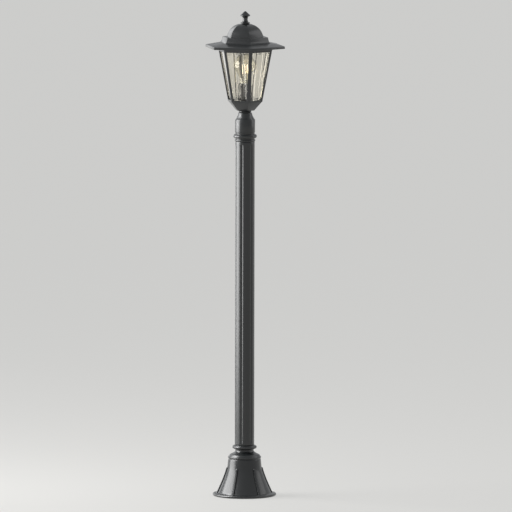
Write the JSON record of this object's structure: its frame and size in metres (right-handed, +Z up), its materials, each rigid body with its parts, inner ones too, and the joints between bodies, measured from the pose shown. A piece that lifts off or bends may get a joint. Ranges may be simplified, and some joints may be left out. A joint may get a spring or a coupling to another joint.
{
  "type": "lantern floor lamp",
  "caption": "Hexagonal glazed lantern on a slim fluted pole with a ribbed bell foot; the knob unscrews, the roof lifts off and the bulb screws out.",
  "frame": {"origin": "centre of the underside of the ground plate", "axes": "+Z up the pole; two of the lantern's corners lie on the Y axis and two of its flats face along X"},
  "size_m": [0.178, 0.2056, 1.2],
  "materials": {
    "black_paint": "satin anthracite powder coat",
    "zinc_plate": "zinc plated",
    "bright_steel": "plated",
    "black_rubber": "matt",
    "brass": "nickel-free pressed brass",
    "cream_plastic": "moulded",
    "lead_sleeve": "silicone sleeve",
    "holder_black": "semi-gloss moulded",
    "porcelain": "glazed",
    "pane_glass": "clear, bevelled",
    "bulb_glass": "clear",
    "cap_metal": "rolled thread",
    "filament": "glowing wire"
  },
  "bodies": {
    "root": {"ground_plate": "zinc_plate", "foot_gasket": "black_rubber", "foot_bell": "black_paint", "foot_screws": "bright_steel", "cable_grommet": "black_rubber", "terminal_block": "cream_plastic", "earth_screw": "brass", "draw_tube": "bright_steel", "lock_nut": "bright_steel", "lower_collar": "black_paint", "pole_tube": "black_paint", "upper_collar": "black_paint", "neck_ring": "black_paint", "neck_coupling": "black_paint", "seat_ring": "black_paint", "lantern_pan": "black_paint", "top_washer": "bright_steel", "top_nut": "bright_steel", "lantern_frame": "black_paint", "frame_screws": "bright_steel", "glass_pane_1": "pane_glass", "glass_pane_2": "pane_glass", "glass_pane_3": "pane_glass", "glass_pane_4": "pane_glass", "glass_pane_5": "pane_glass", "glass_pane_6": "pane_glass", "pane_clips": "bright_steel", "clip_screws": "bright_steel", "roof_gasket": "black_rubber", "roof_strap": "zinc_plate", "strap_screws": "bright_steel", "knob_stud": "bright_steel", "stud_nut": "bright_steel", "holder_base": "holder_black", "holder_insulator": "porcelain", "holder_shell": "holder_black", "holder_thread_shell": "brass", "holder_contact": "brass", "holder_ring": "holder_black", "inner_lead": "lead_sleeve"},
    "roof": {"roof": "black_paint"},
    "knob_washer": {"knob_washer": "black_rubber"},
    "knob": {"knob": "black_paint"},
    "bulb_tip": {"bulb_tip": "cap_metal"},
    "bulb": {"bulb_cap": "cap_metal", "bulb_glass": "bulb_glass", "bulb_stem": "bulb_glass", "bulb_filament": "filament"}
  },
  "joints": [
    {"name": "roof_lift", "type": "slide", "parent": "root", "child": "roof", "axis": [0, 0, 1], "range_m": [0, 0.15]},
    {"name": "knob_rise", "type": "slide", "parent": "roof", "child": "knob_washer", "axis": [0, 0, 1], "range_m": [0, 0.01]},
    {"name": "knob_turn", "type": "hinge", "parent": "knob_washer", "child": "knob", "pos_m": [0, 0, 1.17], "axis": [0, 0, 1], "range_deg": [0, 3600]},
    {"name": "bulb_rise", "type": "slide", "parent": "root", "child": "bulb_tip", "axis": [0, 0, 1], "range_m": [0, 0.0218]},
    {"name": "bulb_turn", "type": "hinge", "parent": "bulb_tip", "child": "bulb", "pos_m": [0, 0, 0.996], "axis": [0, 0, 1], "range_deg": [0, 2160]}
  ],
  "couplings": [
    {"joint": "knob_rise", "follows": "knob_turn", "m_per_rad": 0.00015915},
    {"joint": "bulb_rise", "follows": "bulb_turn", "m_per_rad": 0.00057757}
  ]
}
